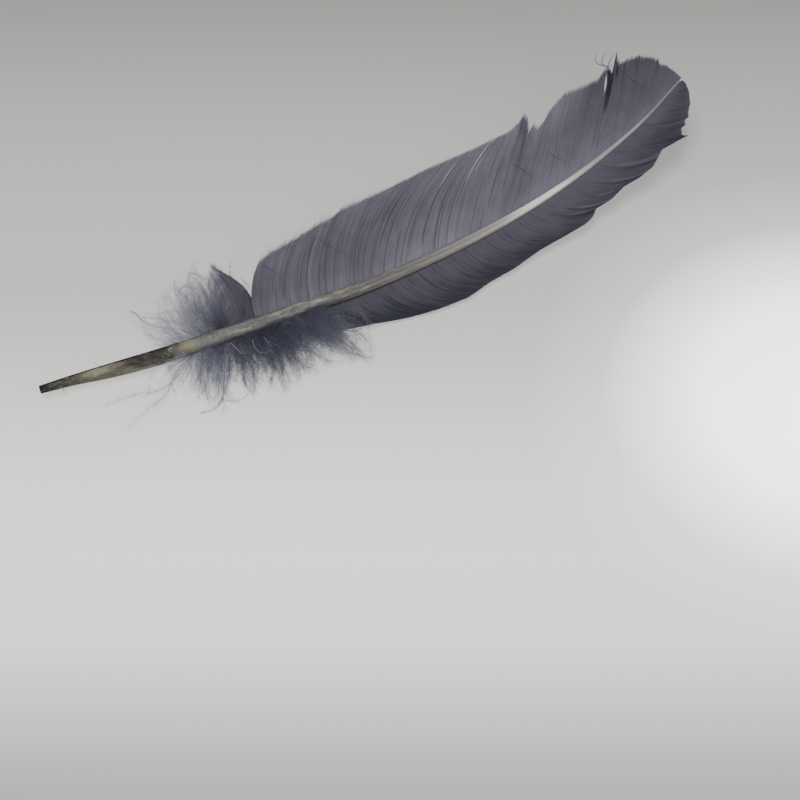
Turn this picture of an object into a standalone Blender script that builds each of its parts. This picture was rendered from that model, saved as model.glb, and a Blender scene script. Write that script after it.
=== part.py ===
# A turkey wing feather, dyed gray, lying with its hollow side up: quill, shaft, two vanes and the down.
# Measures are millimetres from the middle of the quill's cut end: along the feather, to the side
# (plus is towards the wide vane) and up from the surface it lies on.
import math
import random

import bmesh
import bpy
import numpy as np
from mathutils import Vector

MM = 0.001
QUILL_END = (-133.6, 8.7)  # along and side of the quill's end in the part's own, centred frame

# Shaft from the cut end to the tip: along, side, underside, width, depth
SHAFT = np.array([
    (0, 0.7, 2.6, 2.9, 2.7),
    (12, -1.1, 1.9, 3.9, 3.6),
    (25, -3.6, 1.1, 5.2, 4.8),
    (50, -7.4, 0.3, 5.9, 5.3),
    (75, -10.0, 0, 5.6, 4.9),
    (100, -12.4, 0, 5.1, 4.4),
    (125, -14.6, 0, 4.6, 4.0),
    (150, -15.0, 0, 4.0, 3.5),
    (175, -14.3, 0.5, 3.5, 3.0),
    (200, -12.7, 2.8, 2.8, 2.4),
    (225, -9.6, 7.6, 2.0, 1.8),
    (250, -4.7, 15.2, 1.3, 1.1),
    (266, 0.4, 21.3, 0.7, 0.6),
])
SHAFT_STEP = 7
SHAFT_SIDES = 15
SQUARENESS = 0.8  # under 1 makes the section squarer than an ellipse
GROOVE_DEPTH = 0.13  # share of the shaft's depth
GROOVE = np.array([(60, 0), (95, 0.6), (130, 1), (170, 1), (215, 0), (266, 0)])  # along, how much of it

VANE_THICKNESS = 0.4
VANE_CELLS = 7
VANE_ROOT = 0.15  # from the shaft's middle to the vane's buried root, as a share of the shaft's width
VANE_FOOT = 0.15  # the vane's underside at the shaft, as a share of the shaft's depth
WIDE_CURL, NARROW_CURL, LOBE_CURL = 1.25, 2.2, 2  # how late a sheet rises on its way out
VANE_SPACING, LOBE_SPACING = 4, 3  # between the lines of a sheet
FRAY = 0.6  # the edge steps back this much between the barbs below

# Barbs that shape the wide vane: where each leaves the shaft, where it ends (along, side, up) and its
# sideways bow as a share of its length
WIDE_VANE = (
    (81.5, 88.5, 7.2, 7, 0.10),
    (82.5, 91, 9.2, 9, 0.10),
    (85.5, 97.5, 10.6, 10, 0.09),
    (93, 108.5, 11.2, 10.5, 0.12),
    (100, 118.5, 12.6, 11, 0.13),
    (105.5, 123.5, 12.7, 11.5, 0.10),
    (107.5, 128.5, 13.9, 12, 0.10),
    (117, 139.5, 13.9, 12.5, 0.10),
    (129, 163, 14.2, 13, 0.12),
    (139, 175, 14.3, 13.5, 0.10),
    (151.5, 184.5, 13.8, 14, 0.11),
    (162, 194, 13.4, 15, 0.10),
    (172, 200.5, 13.8, 16, 0.03),
    (178, 204.6, 15, 16.9, 0.01),
    (180.2, 207.5, 17.1, 17.5, 0),
    (180.9, 208.2, 15.1, 17, 0),
    (182.3, 205.6, 9.5, 16, 0),
    (184, 209.3, 12.1, 16.3, 0),
    (184.8, 209.2, 10.6, 16.3, 0),
    (186, 210.5, 10, 16.3, 0),
    (188.5, 213.3, 11.2, 16.5, -0.01),
    (192.5, 218, 14.7, 17, -0.02),
    (199.5, 226, 17.9, 18, -0.01),
    (208, 233.5, 16.3, 19.5, 0.02),
    (216.5, 239, 15.6, 21.5, -0.02),
    (221, 241.8, 16.8, 23.5, -0.03),
    (222.6, 243.2, 17.2, 24, -0.03),
    (223.9, 244.2, 14.4, 23.6, -0.01),
    (224.4, 249.7, 20.8, 25.2, -0.01),
    (225.4, 248.7, 18.4, 24, -0.02),
    (226.5, 248.6, 16.6, 23.3, -0.03),
    (229.5, 251.4, 17.4, 22.8, -0.03),
    (232, 253.6, 17.1, 22.8, -0.02),
    (240.5, 258, 16.8, 22.8, -0.02),
    (241.5, 258.6, 15.5, 22.8, -0.02),
    (246.6, 262.3, 13.1, 22.8, 0),
    (249.2, 263.2, 10.6, 22.6, 0),
    (253, 264.8, 8.2, 22.5, 0),
    (257.5, 266, 5.4, 22.2, 0),
    (261, 266.7, 2.6, 21.9, 0),
    (263.5, 266.9, 1, 21.7, 0),
)
NARROW_VANE = (
    (91, 98, -25, 1.2, -0.05),
    (100, 111, -27.7, 1.2, -0.10),
    (110, 123, -31, 1.3, -0.11),
    (120, 133, -33.6, 1.5, -0.13),
    (130, 143.5, -35.6, 1.5, -0.14),
    (140.5, 155, -36.3, 1.5, -0.15),
    (151, 165.5, -34.4, 1.7, -0.15),
    (162, 176.5, -33.7, 2.2, -0.16),
    (171.5, 188.2, -31.6, 3, -0.19),
    (180.5, 198, -31.1, 3.8, -0.19),
    (189, 208.7, -30.5, 5, -0.18),
    (194, 212.7, -29.3, 5.5, -0.15),
    (197, 215.1, -27.3, 6.5, -0.15),
    (202, 221.7, -27, 7.5, -0.16),
    (207.5, 228.2, -25, 9, -0.16),
    (213, 235.6, -24.6, 10, -0.13),
    (220, 241.6, -23.6, 11.5, -0.12),
    (227.5, 247.4, -19.8, 13.8, -0.11),
    (234.2, 258, -20.2, 16.5, -0.03),
    (234.9, 256, -19.1, 16.6, -0.03),
    (239.6, 257.2, -16.5, 17.3, -0.04),
    (240.3, 259.4, -16, 17.6, -0.03),
    (243.2, 259.8, -14.5, 18, -0.03),
    (244, 261.8, -14, 18.4, -0.02),
    (248, 262.9, -12, 18.7, -0.02),
    (253, 265.1, -9.5, 19.5, 0),
    (257.5, 266.9, -5.4, 20.5, 0.01),
    (261.5, 267.4, -2.2, 21.2, 0),
    (263.5, 267.1, -0.4, 21.4, 0),
)
# The small loose lobe between the down and the wide vane
DOWNY_LOBE = (
    (63.5, 67.5, 7, 6, 0.02),
    (66, 70.5, 11, 7.5, -0.02),
    (69, 73, 13.6, 8.2, -0.05),
    (73, 74.6, 15.2, 8.6, -0.09),
    (77, 75.4, 15.4, 8.7, -0.14),
    (80.8, 76, 14.6, 8.5, -0.19),
)

# Down: where a lock leaves the shaft, where its tip is (along, side, up) and its bow
UPPER_DOWN = (
    (52, 42.6, -1, 1.2, 0),
    (54, 46.5, 4.5, 3, 0.1),
    (55, 44.3, 8.2, 3, 0.12),
    (56.5, 44.5, 13, 4, 0.16),
    (58, 50, 9.2, 5, 0.1),
    (59, 53, 14, 6, 0.1),
    (60, 60.3, 18.7, 6.5, 0.12),
    (62, 60.5, 13.2, 7, 0.12),
    (63.5, 67.2, 18.3, 7.5, 0.1),
    (65, 65, 12.6, 8, 0.1),
    (67, 70.2, 15.2, 7.5, 0),
)
LOWER_DOWN = (
    (53, 42.3, -9.4, 0.6, 0),
    (54.5, 39.2, -20.4, 0.6, -0.1),
    (56.5, 49, -26.8, 0.8, 0),
    (59, 51.7, -31.3, 0.8, 0.06),
    (62, 57, -26.5, 2, 0),
    (65, 54.2, -32.6, 0.8, -0.08),
    (68.5, 63.4, -34.3, 1, 0.05),
    (72, 68.6, -33.4, 1.5, 0.04),
    (76, 75.3, -36, 1, 0.08),
    (80, 80.5, -37, 1.5, 0.05),
    (84.5, 84, -39.6, 1, 0.05),
    (88.5, 92.3, -37.6, 1, 0.08),
    (92, 99.5, -36.8, 2, 0.06),
    (97, 111.6, -41.3, 1.5, 0.1),
    (101, 109.8, -36.7, 2, 0.06),
    (105, 110.2, -32, 2.5, 0),
)
UPPER_LOCKS, LOWER_LOCKS = 22, 36
LOCK_LENGTHS = (1, 0.7, 0.88, 0.6, 0.95, 0.76)  # in turn, as shares of the way to the down's edge
LOCK_WIDTH, LOCK_DEPTH = 1.9, 1.1
LOCK_FOOT, LOCK_SWELL, LOCK_TIP = 0.6, 1.6, 0.3  # shares of the width: at the root, gained midway, at the tip
LOCK_BURIED = 1.2  # how far inside the shaft's edge a lock starts
LOCK_HEIGHT = 0.4  # how high on the shaft it starts, as a share of the shaft's depth
LOWEST_TIP = 0.6
SHORT_LIFT = 2.5  # short locks lie on top of the long ones
LOCK_STEPS = 5
LOCK_ARCH, FULL_ARCH_LENGTH = 2.5, 30
# Single long wisps: root on the shaft, tip, bow, width
LONG_WISPS = (
    (56, (39.6, 18, 1.1), 0.12, 1.2),
    (55.5, (19.1, -14.4, 0.5), 0.13, 1.3),
    (56, (22.3, -26.2, 0.5), 0.05, 1.2),
    (78, (82.6, 14.4, 8), 0.08, 1.0),
)
# Curled wisps from the knot where the wide vane's edge is gathered: tip, bow
KNOT = WIDE_VANE[26]
TIP_WISPS = (
    ((242.4, 23.3, 27.2), 0.33),
    ((246.2, 22.2, 27.3), 0.3),
    ((248.2, 20.4, 26.4), 0),
)
WISP_WIDTH = 0.8
KNOT_INSET = 0.12  # share of a vane cell, so that the wisps start inside the sheet

rng = random.Random(7)


def clear_scene():
    for item in list(bpy.data.objects):
        bpy.data.objects.remove(item)


def smooth(at, places, values):
    """A curve that runs smoothly through the values."""
    slopes = np.gradient(values, places)
    i = int(np.clip(np.searchsorted(places, at) - 1, 0, len(places) - 2))
    gap = places[i + 1] - places[i]
    t = (at - places[i]) / gap
    start = (1 + 2 * t) * (1 - t) ** 2 * values[i] + t * (1 - t) ** 2 * gap * slopes[i]
    end = t * t * (3 - 2 * t) * values[i + 1] + t * t * (t - 1) * gap * slopes[i + 1]
    return float(start + end)


def shaft_at(along):
    """Side, underside, width and depth of the shaft."""
    return [smooth(along, SHAFT[:, 0], SHAFT[:, column]) for column in range(1, 5)]


def heading(along):
    """The shaft's direction on the surface, and the direction across it towards the wide vane."""
    step = 0.5
    first, last = max(along - step, 0), min(along + step, SHAFT[-1, 0])
    run = Vector((last - first, shaft_at(last)[0] - shaft_at(first)[0]))
    run.normalize()
    return run, Vector((-run.y, run.x))


def place(along, side, up):
    return Vector((QUILL_END[0] + along, QUILL_END[1] + side, up)) * MM


def new_object(name, mesh_builder):
    mesh = bpy.data.meshes.new(name)
    bmesh.ops.recalc_face_normals(mesh_builder, faces=mesh_builder.faces)
    mesh_builder.to_mesh(mesh)
    mesh_builder.free()
    made = bpy.data.objects.new(name, mesh)
    bpy.context.scene.collection.objects.link(made)
    return made


def loft(rings, name):
    """A closed skin over rings of points, each with as many points as the first."""
    bm = bmesh.new()
    loops = [[bm.verts.new(point) for point in ring] for ring in rings]
    for near, far in zip(loops, loops[1:]):
        for k in range(len(near)):
            n = (k + 1) % len(near)
            bm.faces.new((near[k], near[n], far[n], far[k]))
    bm.faces.new(loops[0])
    bm.faces.new(loops[-1])
    return new_object(name, bm)


def shaft_ring(along):
    side, low, width, depth = shaft_at(along)
    across = heading(along)[1]
    groove = GROOVE_DEPTH * depth * float(np.interp(along, GROOVE[:, 0], GROOVE[:, 1]))
    lowest = math.cos(math.pi / SHAFT_SIDES) ** SQUARENESS
    ring = []
    for k in range(SHAFT_SIDES):
        turn = math.tau * k / SHAFT_SIDES
        out = math.copysign(abs(math.sin(turn)) ** SQUARENESS, math.sin(turn)) * width / 2
        up = math.copysign(abs(math.cos(turn)) ** SQUARENESS, math.cos(turn)) / lowest
        height = low + depth / 2 * (1 + up) - (groove if k == 0 else 0)
        ring.append(place(along + across.x * out, side + across.y * out, height))
    return ring


def make_shaft():
    length = SHAFT[-1, 0]
    count = round(length / SHAFT_STEP)
    return loft([shaft_ring(length * k / count) for k in range(count + 1)], "feather")


def underside(along):
    return shaft_at(min(along, SHAFT[-1, 0]))[1]


def barb_line(root, end, bow, towards, curl, count):
    """Points of one barb from inside the shaft to its end, as along, side and up."""
    side, _, width, depth = shaft_at(root)
    buried = heading(root)[1] * towards * width * VANE_ROOT
    start = Vector((root, side)) + buried
    run = Vector(end[:2]) - start
    bulge = Vector((-run.y, run.x)) * bow * 4
    foot = depth * VANE_FOOT
    rise = end[2] - underside(end[0]) - foot
    line = []
    for k in range(count + 1):
        f = k / count
        spot = start + run * f + bulge * f * (1 - f)
        line.append(Vector((*spot, underside(spot.x) + foot + rise * f**curl)))
    return line


def make_vane(name, barbs, towards, curl, spacing):
    """A thin sheet that follows the barbs, with a frayed edge."""
    lines = []
    for first, last in zip(barbs, barbs[1:]):
        gap = max(last[0] - first[0], math.dist(first[1:3], last[1:3]))
        steps = max(1, round(gap / spacing))
        for k in range(steps):
            line = [a + (b - a) * k / steps for a, b in zip(first, last)]
            lines.append(line + [FRAY * (k % 2)])
    lines.append([*barbs[-1], 0])
    bm = bmesh.new()
    rows = []
    for root, along, side, up, bow, short in lines:
        points = barb_line(root, (along, side, up), bow, towards, curl, VANE_CELLS)
        points[-1] += (points[-2] - points[-1]).normalized() * short
        rows.append([bm.verts.new(place(*point)) for point in points])
    for near, far in zip(rows, rows[1:]):
        for k in range(VANE_CELLS):
            bm.faces.new((near[k], near[k + 1], far[k + 1], far[k]))
    sheet = bmesh.ops.extrude_face_region(bm, geom=list(bm.faces), use_keep_orig=True)
    raised = [item for item in sheet["geom"] if isinstance(item, bmesh.types.BMVert)]
    bmesh.ops.translate(bm, verts=raised, vec=(0, 0, VANE_THICKNESS * MM))
    return new_object(name, bm)


def make_lock(name, start, end, bow, width):
    """A tapered tuft with a diamond section, arched a little between its ends."""
    run = Vector(end) - Vector(start)
    bulge = Vector((-run.y, run.x, 0)) * bow * 4
    across = Vector((-run.y, run.x, 0)).normalized()
    rings = []
    for k in range(LOCK_STEPS + 1):
        f = k / LOCK_STEPS
        middle = Vector(start) + run * f + bulge * f * (1 - f)
        middle.z += LOCK_ARCH * 4 * f * (1 - f) * min(run.length / FULL_ARCH_LENGTH, 1)
        size = LOCK_FOOT + LOCK_SWELL * f * (1 - f) - (LOCK_FOOT - LOCK_TIP) * f
        half = across * width * size / 2
        thick = Vector((0, 0, width * LOCK_DEPTH / LOCK_WIDTH * size / 2))
        rings.append([place(*(middle + part)) for part in (half, thick, -half, -thick)])
    return loft(rings, name)


def between(keys, share):
    """The down's edge is a row of keys: the one at this share of the way along the row."""
    at = share * (len(keys) - 1)
    k = min(int(at), len(keys) - 2)
    return [a + (b - a) * (at - k) for a, b in zip(keys[k], keys[k + 1])]


def lock_root(root, towards):
    side, low, width, depth = shaft_at(root)
    return (root, side + towards * (width / 2 - LOCK_BURIED), low + depth * LOCK_HEIGHT)


def make_down(keys, towards, count, name):
    locks = []
    for n in range(count):
        root, along, side, up, bow = between(keys, n / (count - 1))
        start = lock_root(root, towards)
        share = LOCK_LENGTHS[n % len(LOCK_LENGTHS)]
        end = [s + (e - s) * share for s, e in zip(start, (along, side, up))]
        end[2] = max(up, LOWEST_TIP) + SHORT_LIFT * (1 - share) * rng.uniform(0.4, 1.6)
        width = LOCK_WIDTH * rng.uniform(0.8, 1.15)
        locks.append(make_lock(f"{name}_{n}", start, end, bow + rng.uniform(-0.04, 0.04), width))
    return locks


def make_wisps():
    wisps = []
    for n, (root, tip, bow, width) in enumerate(LONG_WISPS):
        towards = 1 if tip[1] > shaft_at(root)[0] else -1
        wisps.append(make_lock(f"wisp_{n}", lock_root(root, towards), tip, bow, width))
    inside, edge = barb_line(KNOT[0], KNOT[1:4], KNOT[4], 1, WIDE_CURL, VANE_CELLS)[-2:]
    knot = edge.lerp(inside, KNOT_INSET)
    knot.z += VANE_THICKNESS / 2
    for n, (tip, bow) in enumerate(TIP_WISPS):
        wisps.append(make_lock(f"tip_wisp_{n}", knot, tip, bow, WISP_WIDTH))
    return wisps


def fuse(body, grown):
    """Joins what grows from the shaft to it, as one closed solid."""
    helpers = bpy.data.collections.new("grown_from_shaft")
    bpy.context.scene.collection.children.link(helpers)
    for item in grown:
        bpy.context.scene.collection.objects.unlink(item)
        helpers.objects.link(item)
        item.hide_render = True
        item.display_type = "WIRE"
    join = body.modifiers.new("grown_from_shaft", "BOOLEAN")
    join.operation = "UNION"
    join.solver = "EXACT"
    join.operand_type = "COLLECTION"
    join.collection = helpers


def horn_material():
    material = bpy.data.materials.new("gray_feather")
    material.use_nodes = True
    shader = material.node_tree.nodes["Principled BSDF"]
    shader.inputs["Base Color"].default_value = (0.13, 0.125, 0.165, 1)
    shader.inputs["Roughness"].default_value = 0.6
    shader.inputs["Metallic"].default_value = 0
    return material


clear_scene()
feather = make_shaft()
feather.data.materials.append(horn_material())
grown = [
    make_vane("wide_vane", WIDE_VANE, 1, WIDE_CURL, VANE_SPACING),
    make_vane("narrow_vane", NARROW_VANE, -1, NARROW_CURL, VANE_SPACING),
    make_vane("downy_lobe", DOWNY_LOBE, 1, LOBE_CURL, LOBE_SPACING),
]
grown += make_down(UPPER_DOWN, 1, UPPER_LOCKS, "upper_lock")
grown += make_down(LOWER_DOWN, -1, LOWER_LOCKS, "lower_lock")
grown += make_wisps()
fuse(feather, grown)
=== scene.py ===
import math

import bmesh
import bpy
import numpy as np
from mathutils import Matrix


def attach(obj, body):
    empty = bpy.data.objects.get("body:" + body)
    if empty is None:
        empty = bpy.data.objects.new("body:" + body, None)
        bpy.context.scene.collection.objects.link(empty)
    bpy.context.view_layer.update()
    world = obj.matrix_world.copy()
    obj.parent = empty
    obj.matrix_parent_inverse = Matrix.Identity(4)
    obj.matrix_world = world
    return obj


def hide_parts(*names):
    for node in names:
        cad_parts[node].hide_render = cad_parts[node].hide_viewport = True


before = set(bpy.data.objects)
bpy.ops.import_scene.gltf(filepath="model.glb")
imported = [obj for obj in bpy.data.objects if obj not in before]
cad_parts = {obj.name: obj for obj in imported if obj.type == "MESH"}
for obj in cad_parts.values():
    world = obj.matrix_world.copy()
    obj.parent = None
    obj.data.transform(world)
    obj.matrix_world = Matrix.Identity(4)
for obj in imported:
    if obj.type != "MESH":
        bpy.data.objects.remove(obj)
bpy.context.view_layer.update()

mm = 0.001
quillEnd = np.array([-133.6, 8.7, 0])  # the quill's end in the part's own frame
dice = np.random.default_rng(5)


# Camera, floor and light

view = {
    "location": (-0.11778, -0.24122, 0.4784),
    "tilt": 24,  # degrees from straight down
    "turn": -27.39,
    "lens": 65.25,
    "sensor": 36,
}
sheet = {  # opal sheet that the feather lies on, with a painted glow that washes out the feather's shadow
    "size": 3.0, "colour": "#a2a2a0", "grain": 0.6, "bump": 0.05, "rough": 0.7,
    "painted_glow": 2.8, "turn": 62.6,
    # painted light falloff: where the glow's band starts, how wide it is, and its brightness across; the camera sees
    # it from 0.09 on
    "band": ((-0.106, -0.204, 0), (0.36, 0.36, 0.36), (
        (0, "#6c6c6a"), (0.09, "#5b5b5a"), (0.13, "#6c6c6a"), (0.18, "#8b8b89"), (0.24, "#a7a7a5"), (0.32, "#ababa9"),
        (0.39, "#a5a5a3"), (0.445, "#9a9a98"), (0.53, "#828280"), (0.6, "#71716f"), (0.7, "#6a6a69"),
        (0.78, "#606060"), (0.9, "#464646"), (1, "#252525"),
    )),
    # painted reflection of the window: its middle, its half lengths, its brightness outwards in
    "pool": ((0.119, -0.122, 0), (0.095, 0.11, 1), (
        (0, "#000000"), (0.25, "#545351"), (0.45, "#afadab"), (0.6, "#e5e3df"), (1, "#fbf9f5"),
    )),
}
softbox = {"from": (-0.12, 0.1, 1.0), "distance": 1.25, "size": 0.75, "power": 9.5, "colour": "#fffdf8"}
window = {"from": (0.51, -0.6, 0.5), "distance": 1.2, "size": 1.0, "power": 4.0, "colour": "#fff9f2"}
lamp = {"from": (0.1, 0.3, 1.17), "distance": 1.21, "size": 0.14, "power": 1.1, "colour": "#fffdf8"}
sky = {"colour": "#eceef3", "strength": 0.22}


def linear(code):  # sRGB hex to Blender's linear colour
    parts = [int(code[k:k + 2], 16) / 255 for k in (1, 3, 5)]
    return (*(p / 12.92 if p <= 0.04045 else ((p + 0.055) / 1.055) ** 2.4 for p in parts), 1)


def addNode(tree, kind, settings=None, links=None):
    node = tree.nodes.new("ShaderNode" + kind)
    for name, value in (settings or {}).items():
        if isinstance(name, int) or name in node.inputs:
            node.inputs[name].default_value = value
        else:
            setattr(node, name, value)
    for name, socket in (links or {}).items():
        tree.links.new(socket, node.inputs[name])
    return node


def newMaterial(name, values):
    material = bpy.data.materials.new(name)
    material.use_nodes = True
    tree = material.node_tree
    shader = tree.nodes["Principled BSDF"]
    for key, value in values.items():
        shader.inputs[key].default_value = value
    return material, tree, shader


def addRamp(tree, factor, stops):  # stops: place, and a hex colour or a plain amount
    node = addNode(tree, "ValToRGB", {}, {"Fac": factor})
    ramp = node.color_ramp
    while len(ramp.elements) < len(stops):
        ramp.elements.new(0.5)
    for element, (place, code) in zip(ramp.elements, stops):
        element.position = place
        element.color = (code, code, code, 1) if isinstance(code, float) else linear(code)
    return node.outputs["Color"]


def addObject(name, data):
    thing = bpy.data.objects.new(name, data)
    bpy.context.scene.collection.objects.link(thing)
    return thing


def makeCamera():
    data = bpy.data.cameras.new("camera")
    data.lens = view["lens"]
    data.sensor_width = view["sensor"]
    camera = addObject("camera", data)
    camera.location = view["location"]
    camera.rotation_euler = (math.radians(view["tilt"]), 0, math.radians(view["turn"]))
    bpy.context.scene.camera = camera


def makeLight(name, form):
    data = bpy.data.lights.new(name, "AREA")
    data.shape = "DISK"
    data.size = form["size"]
    data.energy = form["power"]
    data.color = linear(form["colour"])[:3]
    light = addObject(name, data)
    way = np.array(form["from"]) / np.linalg.norm(form["from"])
    light.location = way * form["distance"]
    light.rotation_euler = (math.acos(way[2]), 0, math.atan2(way[1], way[0]) + math.pi / 2)


def opalSheet():  # cast acrylic: even and pale, with a grain that takes the gloss off, and a painted glow: a band of painted light falloff and a painted window reflection
    material, tree, shader = newMaterial("opal_acrylic_painted_glow", {
        "Base Color": linear(sheet["colour"]), "Roughness": sheet["rough"], "Emission Strength": sheet["painted_glow"]})
    spot = addNode(tree, "TexCoord").outputs["Object"]
    grain = addNode(tree, "TexNoise", {"Scale": 1 / (sheet["grain"] * mm), "Detail": 2}, {"Vector": spot})
    bump = addNode(tree, "Bump", {"Strength": sheet["bump"], "Distance": 0.1 * mm}, {
        "Height": grain.outputs["Fac"]})
    layers = []
    for kind, (middle, size, stops) in (("LINEAR", sheet["band"]), ("SPHERICAL", sheet["pool"])):
        placed = addNode(tree, "Mapping", {
            "vector_type": "TEXTURE", "Location": middle, "Rotation": (0, 0, math.radians(sheet["turn"])),
            "Scale": size}, {"Vector": spot})
        shade = addNode(tree, "TexGradient", {"gradient_type": kind}, {"Vector": placed.outputs["Vector"]})
        layers.append(addRamp(tree, shade.outputs["Fac"], stops))
    # painted light: the falloff band and the window's reflection, added up as the sheet's emission
    painted_glow = addNode(tree, "Mix", {"data_type": "RGBA", "blend_type": "ADD", 0: 1.0}, {6: layers[0], 7: layers[1]})
    tree.links.new(painted_glow.outputs[2], shader.inputs["Emission Color"])
    tree.links.new(bump.outputs["Normal"], shader.inputs["Normal"])
    return material


def makeFloor():
    bm = bmesh.new()
    bmesh.ops.create_grid(bm, x_segments=1, y_segments=1, size=sheet["size"] / 2)
    mesh = bpy.data.meshes.new("floor")
    bm.to_mesh(mesh)
    bm.free()
    mesh.materials.append(opalSheet())
    addObject("floor", mesh)


def makeSky():
    world = bpy.data.worlds.new("studio")
    world.use_nodes = True
    backdrop = world.node_tree.nodes["Background"]
    backdrop.inputs["Color"].default_value = linear(sky["colour"])
    backdrop.inputs["Strength"].default_value = sky["strength"]
    bpy.context.scene.world = world


makeCamera()
makeFloor()
makeLight("softbox", softbox)
makeLight("window", window)
makeLight("lamp", lamp)
makeSky()
print("camera, floor and light")


# The shaft's run, which everything grows from

shaft = {
    "along": (0, 12, 25, 50, 75, 100, 125, 150, 175, 200, 225, 250, 266),
    "side": (0.7, -1.1, -3.6, -7.4, -10.0, -12.4, -14.6, -15.0, -14.3, -12.7, -9.6, -4.7, 0.4),
    "underside": (2.6, 1.9, 1.1, 0.3, 0, 0, 0, 0, 0.5, 2.8, 7.6, 15.2, 21.3),
    "width": (2.9, 3.9, 5.2, 5.9, 5.6, 5.1, 4.6, 4.0, 3.5, 2.8, 2.0, 1.3, 0.7),
    "depth": (2.7, 3.6, 4.8, 5.3, 4.9, 4.4, 4.0, 3.5, 3.0, 2.4, 1.8, 1.1, 0.6),
    "groove": ((60, 0), (95, 0.6), (130, 1), (170, 1), (215, 0), (266, 0)),  # along, how much of it
    "grooveDepth": 0.09,  # share of the depth
    "grooveWidth": 0.24,  # share of the width
    "swell": (1.01, 0.99),  # over its half depth, above its middle and below
    "squareness": ((0, 0.85), (130, 0.8), (185, 0.6), (266, 0.7)),  # along, power of the section's sine and cosine
    "rings": 420,
    "sides": 44,
}


def curveThrough(at, places, values):  # a smooth curve through listed values
    places, values = np.asarray(places, float), np.asarray(values, float)
    slopes = np.gradient(values, places)
    at = np.clip(at, places[0], places[-1])
    k = np.clip(np.searchsorted(places, at) - 1, 0, len(places) - 2)
    gap = places[k + 1] - places[k]
    t = (at - places[k]) / gap
    start = (1 + 2 * t) * (1 - t) ** 2 * values[k] + t * (1 - t) ** 2 * gap * slopes[k]
    end = t * t * (3 - 2 * t) * values[k + 1] + t * t * (t - 1) * gap * slopes[k + 1]
    return start + end


def readTable(at, table):  # table: pairs of a place and a value
    return np.interp(at, *np.transpose(table))


def shaftAt(at, what):
    return curveThrough(at, shaft["along"], shaft[what])


def acrossShaft(at):  # unit direction across the shaft, towards the wide vane
    low, high = (np.clip(at + step, 0, shaft["along"][-1]) for step in (-0.5, 0.5))
    run = np.stack([high - low, shaftAt(high, "side") - shaftAt(low, "side")], axis=-1)
    run /= np.linalg.norm(run, axis=-1, keepdims=True)
    return np.stack([-run[..., 1], run[..., 0]], axis=-1)


def wander(count, reach):  # random values, about -1 to 1, that drift from one to the next
    spread = np.arange(-3 * reach, 3 * reach + 1)
    bell = np.exp(-0.5 * (spread / reach) ** 2)
    drift = np.convolve(dice.normal(size=count + len(bell) - 1), bell, "valid")
    return drift / np.linalg.norm(bell)


def finishPiece(piece, material):
    piece.data.materials.append(material)
    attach(piece, "root")
    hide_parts("feather")


# Strands: barbs, barbules and wisps are tubes along a spine, joined in one mesh for each piece

ribbon = ((-1, 0), (0, -0.7), (1, 0), (0.28, 0.3), (0, 1), (-0.28, 0.3))  # web and ridge of a barb
thread = ((-1, -0.6), (1, -0.6), (0, 1))
clearance = 0.03  # mm that strands keep off the floor
upright = np.array([0.3, 0.2, 1])  # the way that threads of down have their width


def unit(vectors):
    return vectors / np.maximum(np.linalg.norm(vectors, axis=-1, keepdims=True), 1e-9)


def sideways(vectors):  # level vectors square to these
    return np.stack([-vectors[:, 1], vectors[:, 0], 0 * vectors[:, 0]], -1)


def walkAlong(points):  # how far along the line each of its points is
    return np.concatenate([[0], np.cumsum(np.linalg.norm(np.diff(points, axis=0), axis=1))])


def bendHairs(start, go, curl, reach, steps):  # hairs that leave along go and curl more and more
    t = np.linspace(0, 1, steps)[None, :, None]
    return start[:, None] + (go[:, None] * t + curl[:, None] * t ** 2 * 0.6) * reach[:, None, None]


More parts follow.
